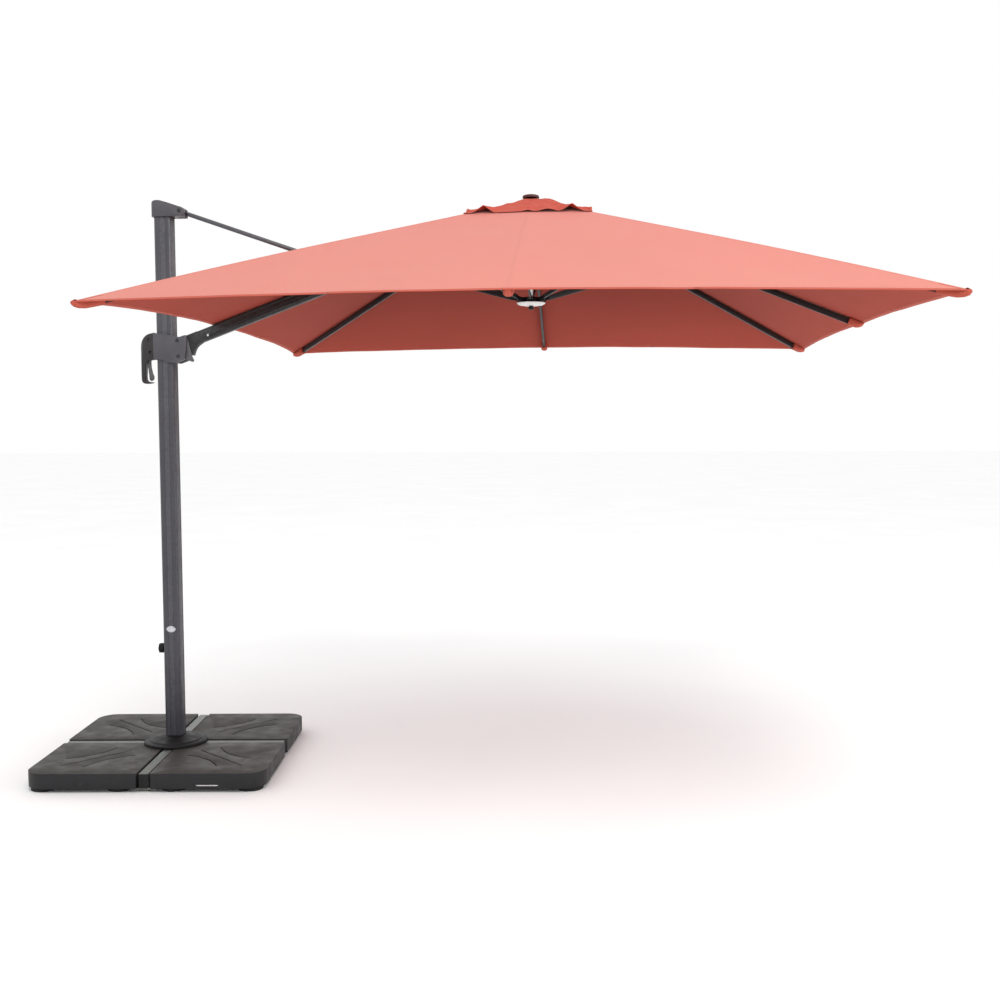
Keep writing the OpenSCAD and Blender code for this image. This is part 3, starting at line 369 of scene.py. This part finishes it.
FINISH = {
    "galvanised": ZINC, "anthracite": ANTHRACITE, "black_steel": BLACK_STEEL,
    "black_plastic": BLACK_PLASTIC, "grey_plastic": GREY_PLASTIC, "white_plastic": WHITE_PLASTIC,
    "slab": SLAB, "feet": RUBBER, "bright": BRIGHT,
}
OWN_FINISH = {
    # The boom's parts take the darker copy of the anthracite coat: painted shade.
    "boom_tube": SHADED_ANTHRACITE, "boom_root": SHADED_ANTHRACITE, "boom_yoke": SHADED_ANTHRACITE,
    "mast_head": HOUSING, "carriage_sleeve": HOUSING, "grip": GRIP, "carriage_screws": DARK_METAL,
    "stay_pins": DARK_METAL, "crown_button": BUTTON,
}


# ---- CAD nodes keep their shape and get a finish ----
def soften(thing, width):
    weld = thing.modifiers.new("weld", "WELD")
    weld.merge_threshold = 1e-5
    bevel = thing.modifiers.new("bevel", "BEVEL")
    bevel.width = width
    bevel.segments = 2
    bevel.limit_method = "ANGLE"
    bevel.angle_limit = math.radians(40)
    bevel.use_clamp_overlap = True
    bevel.harden_normals = True


BEVELS = {"slab_": 0.005, "grip": 0.005, "carriage_sleeve": 0.005, "mast_head": 0.005, "tilt_lever": 0.001}
for entry in frame["record"]["subparts"]:
    name = entry["node"]
    if name.startswith("canopy_"):
        continue
    thing = nodes[name]
    thing.data.materials.clear()
    thing.data.materials.append(OWN_FINISH.get(name, FINISH[entry["material_slot"]]))
    thing.data.polygons.foreach_set("use_smooth", [True] * len(thing.data.polygons))
    soften(thing, next((w for key, w in BEVELS.items() if name.startswith(key)), 0.0008))


# ---- cloth ----
def clamp(value, low=0.0, high=1.0):
    return max(low, min(high, value))


def smooth(value):
    value = clamp(value)
    return value * value * (3 - 2 * value)


def boom_lift(along, across):
    """The wide boom lifts the cloth over it, away from the crown."""
    beside = clamp((across - HALF_BOOM) / max(0.001, EDGE_PART * along - HALF_BOOM))
    return BOOM_LIFT * clamp((along - LIFT_START) / LIFT_RAMP) * (1 - beside)


def spread(step, part, full):
    """Distance of a plan point from the crown, with the hem swept in between two ribs."""
    return full * step - 4 * SWEEP * (full / HALF) * part * (1 - part) * step ** 3


def row_points(step, corner, full, inner, count):
    """One row of a panel before it is turned: plan points and their distances from the rib line.

    The points next to the rib line keep their distance from it in every row; the others fan out.
    """
    limit = spread(step, EDGE_PART, full) * ((1 - EDGE_PART) / math.sqrt(2) if corner else EDGE_PART)
    shrink = min(1, limit * 0.7 / inner[-1])
    offsets = [d * shrink for d in inner]
    offsets += [offsets[-1] + (limit - offsets[-1]) * (k + 1) / count for k in range(count)]
    half_row = []
    for d in offsets:
        part = 1.0 if corner else 0.0
        for _ in range(12):
            along = spread(step, part, full)
            part = 1 - d * math.sqrt(2) / along if corner else d / along
        half_row.append((along, along * part, d))
    row = []
    for along, across, d in reversed(half_row[1:]):
        row.append(((along, across) if corner else (along, -across), -d))
    for along, across, d in half_row:
        row.append(((across, along) if corner else (along, across), d))
    return row


def cloth_height(x, y):
    """Height of the cloth's upper face over a hub-centred plan point in world directions."""
    along, across = max(abs(x), abs(y)), min(abs(x), abs(y))
    height = CLOTH_TOP - FALL * along - TILT * across
    part = across / max(along, 1e-6)
    # Between two ribs the cloth hangs a little hollow, more towards the hem.
    hollow = 4 * part * (1 - part)
    height -= 0.006 * hollow * clamp(along / HALF) * clamp((HALF - along) / 0.3)
    # The outer band droops; on the boom's side that fades towards the stiff boom.
    boom_side = x < 0 and abs(x) >= abs(y)
    sweep = SWEEP + (BOOM_SIDE_SWEEP if boom_side else 0)
    out = along + sweep * hollow * (along / HALF) ** 3
    height -= HEM_DROP * clamp(1 - (HALF - out) / HEM_BAND) ** 2 * (1 - (1 - part) ** 2 if boom_side else 1)
    # The hip seam stands a little proud.
    height += 0.0008 * (1 - smooth(((along - across) / math.sqrt(2) - 0.004) / 0.004))
    if x < 0 and abs(y) < abs(x):
        height += boom_lift(along, across)
    # Slow waves in the cloth that die out on the ribs and at the crown.
    wave = noise.noise(Vector((x * 2.3 + 5.1, y * 2.3 - 2.7, 0.4)))
    wave += 0.5 * noise.noise(Vector((x * 6.1, y * 6.1, 3.3)))
    return height + 0.0035 * wave * hollow * clamp(along / 0.6)


def vent_height(x, y):
    """The vent cap lies on the canopy and lifts into an arch on both sides of each corner."""
    along, across = max(abs(x), abs(y)), min(abs(x), abs(y))
    part = across / max(along, 1e-6)
    reach = clamp(along / VENT)
    inner, outer = clamp((part - 0.48) / 0.21), clamp((0.88 - part) / 0.19)
    rise = 0.005 + ARCH * min(inner, outer) ** 1.3 * reach ** 2.5
    rise += 0.006 * (1 - smooth(part / 0.12)) * reach ** 4
    # A fold on one side of the button and a hollow on the other.
    rise += 0.011 * math.exp(-((x - 0.090) / 0.038) ** 2) - 0.006 * math.exp(-((x + 0.130) / 0.055) ** 2)
    crumple = noise.noise(Vector((x * 15, y * 15, 1.7))) + 0.5 * noise.noise(Vector((x * 34, y * 34, 7.7)))
    calm_edge = 1 - 0.75 * clamp((reach - 0.75) / 0.25)
    rise += 0.008 * crumple * smooth(reach * 2.2) * calm_edge + 0.008 * (1 - reach)
    # The cap never dips into the canopy: low places level out just above it.
    least, soft = 0.0040, 0.0015
    rise = least + math.log1p(math.exp((rise - least) / soft)) * soft
    if x < 0 and abs(y) < abs(x):
        rise += boom_lift(along, across)
    return CLOTH_TOP - FALL * along - TILT * across + rise


def facing(height, x, y):
    """Upward direction of the cloth at a plan point, the same from either side of a panel's edge."""
    d = 0.004
    slope_x = (height(x + d, y) - height(x - d, y)) / (2 * d)
    slope_y = (height(x, y + d) - height(x, y - d)) / (2 * d)
    return Vector((-slope_x, -slope_y, 1)).normalized()


def mesh_object(name, verts, faces, uvs, materials, normals=None, second=()):
    """A mesh object with smooth faces and cloth maps.

    Where given, normals holds one for each corner of a face, and second the faces that take the
    second material.
    """
    mesh = bpy.data.meshes.new(name)
    mesh.from_pydata(verts, [], faces)
    for layer_name, values in uvs.items():
        layer = mesh.uv_layers.new(name=layer_name)
        for loop in mesh.loops:
            layer.data[loop.index].uv = values[loop.vertex_index]
    mesh.polygons.foreach_set("use_smooth", [True] * len(mesh.polygons))
    for material in materials:
        mesh.materials.append(material)
    for number in second:
        mesh.polygons[number].material_index = 1
    mesh.update()
    if normals:
        mesh.normals_split_custom_set(normals)
    thing = bpy.data.objects.new(name, mesh)
    bpy.context.scene.collection.objects.link(thing)
    return thing


def face_outward(thing):
    """Winds the faces of a closed mesh to look outward."""
    bm = bmesh.new()
    bm.from_mesh(thing.data)
    bmesh.ops.recalc_face_normals(bm, faces=bm.faces)
    bm.to_mesh(thing.data)
    bm.free()


def panel_grid(height, azimuth, corner, full, steps, inner, count):
    """The points of a panel's upper face, row by row from the crown out to the hem.

    Gives the number of points in a row, the points, their upward directions, and two maps: from the
    rib line and the crown, and from the hem.
    """
    points, ups, rib_map, hem_map = [], [], [], []
    turn = math.radians(azimuth)
    for step in steps:
        row = row_points(step, corner, full, inner, count)
        for (px, py), d in row:
            x = px * math.cos(turn) - py * math.sin(turn)
            y = px * math.sin(turn) + py * math.cos(turn)
            if x < 0 and abs(x) > abs(y):
                part = abs(y / x)
                x += 4 * BOOM_SIDE_SWEEP * (full / HALF) * part * (1 - part) * step ** 3
            points.append(Vector((HUB_X + x, y, height(x, y))))
            ups.append(facing(height, x, y))
            rib_map.append((d, full * step))
            hem_map.append((full * (1 - step), d))
    return len(row), points, ups, {"cloth": rib_map, "edge": hem_map}


def grid_faces(points, width, hole):
    """Faces between rows of points, without those in the hole, and their border as a list of edges.

    The faces are wound to look up.
    """
    faces, border = [], {}
    for a in range(len(points) - width):
        if a % width == width - 1:
            continue
        quad = (a, a + width, a + width + 1, a + 1)
        if hole and hole(sum((points[k] for k in quad), Vector()) / 4):
            continue
        faces.append(quad)
        for start, end in zip(quad, quad[1:] + quad[:1]):
            if (end, start) in border:
                del border[(end, start)]
            else:
                border[(start, end)] = True
    first = [points[k] for k in faces[0]]
    if (first[1] - first[0]).cross(first[2] - first[0]).z > 0:
        return faces, list(border)
    return [tuple(reversed(f)) for f in faces], [(end, start) for start, end in border]


def face_area(corners):
    a, b, c, d = corners
    return (b - a).cross(c - a).length / 2 + (c - a).cross(d - a).length / 2


def sheet(name, height, azimuth, corner, full, first, rows, inner, count, materials, ends=(), hole=None):
    """A cloth panel as one curved sheet with real thickness, the line of its hem, and its area.

    It runs from the share first of its full length to the hem in a number of rows, and more at ends.
    """
    steps = sorted([first + (1 - first) * i / (rows - 1) for i in range(rows)] + list(ends))
    width, tops, ups, maps = panel_grid(height, azimuth, corner, full, steps, inner, count)
    faces, sides = grid_faces(tops, width, hole)
    total = len(tops)
    verts = tops + [p - n * CLOTH_THICK for p, n in zip(tops, ups)]
    built = faces + [tuple(k + total for k in reversed(f)) for f in faces]
    built += [(b, a, a + total, b + total) for a, b in sides]
    normals = [ups[k] for f in faces for k in f]
    normals += [-ups[k] for f in faces for k in reversed(f)]
    for a, b in sides:
        normals += [(verts[a] - verts[b]).cross(verts[a + total] - verts[b]).normalized()] * 4
    used = sorted({k for f in built for k in f})
    order = {k: n for n, k in enumerate(used)}
    thing = mesh_object(
        name, [verts[k] for k in used], [[order[k] for k in f] for f in built],
        {key: [values[k % total] for k in used] for key, values in maps.items()}, materials, normals,
        range(len(faces), 2 * len(faces)),
    )
    return thing, tops[-width:], sum(face_area([tops[k] for k in f]) for f in faces)


def settle(thing, key):
    """The piece rides on its rib, or on the boom."""
    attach(thing, "boom" if key == "left" else "rib_" + key)
    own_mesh(thing)


def ribbon(name, line, inward, width, thickness, closed=False):
    """A folded tape that follows a line of points, round on its outer side."""
    section = []
    round_steps = 5
    for k in range(round_steps + 1):
        a = -math.pi / 2 + math.pi * k / round_steps
        section.append((-math.cos(a) * thickness / 2, math.sin(a) * thickness / 2))
    section += [(width * 0.5, thickness / 2), (width, thickness * 0.3)]
    section += [(width, -thickness * 0.3), (width * 0.5, -thickness / 2)]
    verts, faces, maps = [], [], []
    count = len(line)
    run = 0
    for n, point in enumerate(line):
        before = line[n - 1] if closed or n else point
        after = line[(n + 1) % count] if closed or n + 1 < count else point
        run += (point - before).length
        ahead = (after - before).normalized()
        side = (inward[n] - ahead * inward[n].dot(ahead)).normalized()
        lift = side.cross(ahead)
        if lift.z < 0:
            lift = -lift
        for u, v in section:
            verts.append(point + side * u + lift * v)
            maps.append((u, run))
    m = len(section)
    for n in range(count if closed else count - 1):
        for k in range(m):
            a, b = n * m + k, n * m + (k + 1) % m
            c, d = ((n + 1) % count) * m + (k + 1) % m, ((n + 1) % count) * m + k
            faces.append((a, b, c, d))
    if not closed:
        faces.append(tuple(range(m - 1, -1, -1)))
        faces.append(tuple((count - 1) * m + k for k in range(m)))
    thing = mesh_object(name, verts, faces, {"cloth": maps, "edge": maps}, [TAPE])
    face_outward(thing)
    return thing


def hem(name, key, edge, drop, width, thickness, slope):
    """The tape along a panel's outer edge, tilted inward at a slope."""
    line = [p + Vector((0, 0, drop)) for p in edge]
    inward = []
    for p in line:
        x, y = p.x - HUB_X, p.y
        if abs(x) >= abs(y):
            inward.append(Vector((-math.copysign(1, x), 0, slope)))
        else:
            inward.append(Vector((0, -math.copysign(1, y), slope)))
    tape = ribbon(name, line, inward, width, thickness)
    settle(tape, key)
    return tape


def pocket(key, azimuth, corner):
    """The pouch sewn under a corner or a hem that holds the tip of a rib."""
    reach = HALF * (math.sqrt(2) if corner else 1)
    slope = CORNER_FALL if corner else FALL
    length = 0.112 if corner else 0.068
    # Length along the pocket for each metre in from the hem.
    stretch = 1.45 if corner else 1.07
    direction = math.radians(azimuth + (45 if corner else 0))
    out = Vector((math.cos(direction), math.sin(direction), -slope)).normalized()
    side = Vector((-math.sin(direction), math.cos(direction), 0))
    lift = out.cross(side)
    if lift.z < 0:
        lift = -lift
    tip_x, tip_y = math.cos(direction) * reach, math.sin(direction) * reach
    tip = Vector((HUB_X + tip_x, tip_y, CLOTH_TOP - slope * reach))
    # Each row: share of the length back from the tip, half the width, depth under the cloth.
    outline = ((1.0, 0.0190, 0.0350), (0.96, 0.0185, 0.0365), (0.7, 0.0180, 0.0350), (0.4, 0.0170, 0.0330),
               (0.2, 0.0150, 0.0270), (0.06, 0.0110, 0.0180), (0.0, 0.0060, 0.0070))
    ring = 20
    verts, faces, maps = [], [], []
    for n, (back, half, deep) in enumerate(outline):
        for k in range(ring):
            a = 2 * math.pi * k / ring
            u = math.copysign(abs(math.cos(a)) ** 0.7, math.cos(a)) * half
            v = (math.copysign(abs(math.sin(a)) ** 0.7, math.sin(a)) - 1) * deep / 2 - 0.0010
            pucker = 1 + 0.05 * math.sin(5 * a + n * 1.3)
            near = back * length / stretch
            fall = HEM_DROP * clamp(1 - near / HEM_BAND) ** 2
            verts.append(tip - out * back * length + side * u * pucker + lift * v - Vector((0, 0, fall)))
            maps.append((u, back * length))
    for n in range(len(outline) - 1):
        for k in range(ring):
            a, b = n * ring + k, n * ring + (k + 1) % ring
            faces.append((a, b, b + ring, a + ring))
    # The open end is turned in round the rib.
    inner = len(verts)
    for k in range(ring):
        verts.append(verts[k] * 0.12 + (tip - out * length * 0.93 - lift * 0.016) * 0.88)
        maps.append((k * 0.002, length))
    for k in range(ring):
        faces.append(((k + 1) % ring, k, inner + k, inner + (k + 1) % ring))
    faces.append(tuple(inner + k for k in range(ring)))
    faces.append(tuple((len(outline) - 1) * ring + k for k in range(ring)))
    thing = mesh_object("pocket_" + key, verts, faces, {"cloth": maps, "edge": maps}, [TAPE])
    face_outward(thing)
    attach(thing, "rib_" + key)
    return thing


# The opening that the stay passes through: its two ends, and half its width.
SLOT_NEAR, SLOT_FAR, SLOT_HALF = JOINT_X - 0.150, JOINT_X + 0.240, NEAR_RIB[-1]


def in_slot(p):
    return SLOT_NEAR < p.x < SLOT_FAR and abs(p.y) < SLOT_HALF


def slot_binding():
    """Tape sewn round the opening that the stay passes through."""
    line = []
    for n in range(25):
        line.append((SLOT_NEAR + (SLOT_FAR - SLOT_NEAR) * n / 24, SLOT_HALF))
    for n in range(1, 8):
        line.append((SLOT_FAR, SLOT_HALF * (1 - n / 4)))
    for n in range(25):
        line.append((SLOT_FAR - (SLOT_FAR - SLOT_NEAR) * n / 24, -SLOT_HALF))
    for n in range(1, 8):
        line.append((SLOT_NEAR, -SLOT_HALF * (1 - n / 4)))
    points = [Vector((x, y, cloth_height(x - HUB_X, y) + 0.0008)) for x, y in line]
    middle = (SLOT_NEAR + SLOT_FAR) / 2
    inward = [Vector((p.x - middle if abs(p.y) < SLOT_HALF * 0.999 else 0, p.y, 0)) for p in points]
    tape = ribbon("slot_binding", points, inward, 0.010, 0.0034, True)
    settle(tape, "left")
    return tape


def canopy_panel(key, azimuth, corner):
    """One of the eight panels, with its hem and its pocket or, over the boom, the slot's binding."""
    left = key == "left"
    slot_rows = ((HUB_X - SLOT_NEAR) / HALF, (HUB_X - SLOT_FAR) / HALF) if left else ()
    panel, edge, area = sheet(
        "panel_" + key, cloth_height, azimuth, corner, HALF, 0.066, 58, NEAR_RIB, 20, [CLOTH, SHADED_UNDERSIDE],
        slot_rows, in_slot if left else None,
    )
    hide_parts("canopy_" + key)
    settle(panel, key)
    extras = [hem("hem_" + key, key, edge, -0.0006, 0.018, 0.0026, FALL + 0.04)]
    extras.append(slot_binding() if left else pocket(key, azimuth, corner))


def vent_piece(key, azimuth, corner):
    """The piece of the vent cap over one panel, with its hem."""
    cap, edge, area = sheet(
        "vent_" + key, vent_height, azimuth, corner, VENT, 0.10, 34, NEAR_RIB[:-1], 18,
        [VENT_CLOTH, VENT_CLOTH],
    )
    settle(cap, key)
    cap_hem = hem("vent_hem_" + key, key, edge, -0.0005, 0.008, 0.0022, FALL)


for key, (azimuth, corner) in PANELS.items():
    canopy_panel(key, azimuth, corner)
    vent_piece(key, azimuth, corner)


# ---- base ----
def pale_strip():
    """A pale rounded strip that lies in the carrying slot of the front right slab."""
    turn = math.radians(BASE_TURN)
    verts, faces = [], []
    ring = 16
    start_x, start_y, start_z = 0.229, -0.522, 0.0320
    # Places along the strip, and half its height there; it is 2.2 times as deep as high.
    rows = (0, 0.002, 0.006, 0.012, 0.090, 0.096, 0.100, 0.102)
    sizes = (0.0008, 0.0022, 0.0031, 0.0034, 0.0034, 0.0031, 0.0022, 0.0008)
    for at, size in zip(rows, sizes):
        for k in range(ring):
            a = 2 * math.pi * k / ring
            x, y = start_x + at, start_y + math.cos(a) * size * 2.2
            verts.append((x * math.cos(turn) - y * math.sin(turn), x * math.sin(turn) + y * math.cos(turn),
                          start_z + math.sin(a) * size))
    for n in range(len(rows) - 1):
        for k in range(ring):
            a, b = n * ring + k, n * ring + (k + 1) % ring
            faces.append((a, b, b + ring, a + ring))
    faces.append(tuple(range(ring - 1, -1, -1)))
    faces.append(tuple((len(rows) - 1) * ring + k for k in range(ring)))
    flat = [(v[0], v[1]) for v in verts]
    thing = mesh_object("pale_strip", verts, faces, {"cloth": flat}, [WHITE_PLASTIC])
    face_outward(thing)
    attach(thing, "base")


pale_strip()

# ---- floor and light ----
floor_mesh = bpy.data.meshes.new("floor")
floor_mesh.from_pydata([(-60, -60, 0), (60, -60, 0), (60, 60, 0), (-60, 60, 0)], [], [(0, 1, 2, 3)])
floor = bpy.data.objects.new("floor", floor_mesh)
bpy.context.scene.collection.objects.link(floor)
floor_paint = Graph("floor_paint")
cloudy = floor_paint.ramp(floor_paint.noise(0.8, 3), 0.3, 0.7, 0, 1)
floor_paint.set(
    Base_Color=floor_paint.mix(cloudy, (0.955, 0.955, 0.955), (0.985, 0.985, 0.985)),
    Roughness=0.95, Specular_IOR_Level=0.1,
)
floor_mesh.materials.append(floor_paint.material)

world = bpy.data.worlds.new("studio")
bpy.context.scene.world = world
world.use_nodes = True
world.node_tree.nodes["Background"].inputs["Color"].default_value = (1, 1, 1, 1)
world.node_tree.nodes["Background"].inputs["Strength"].default_value = 1.0
bpy.context.scene.view_settings.view_transform = "Standard"


def area_light(name, place, aim, size, power, colour=(1, 1, 1)):
    data = bpy.data.lights.new(name, "AREA")
    data.shape = "RECTANGLE"
    data.size, data.size_y = size
    data.energy = power
    data.color = colour
    light = bpy.data.objects.new(name, data)
    bpy.context.scene.collection.objects.link(light)
    light.location = place
    light.rotation_mode = "QUATERNION"
    light.rotation_quaternion = (Vector(aim) - Vector(place)).to_track_quat("-Z", "Y")


area_light("key", (3.0, -5.0, 7.5), (1.5, 0, 2.2), (4, 4), 260, (1.0, 0.985, 0.96))
area_light("side", (7.5, -2.0, 3.5), (0.5, 0, 1.2), (3, 3), 90)
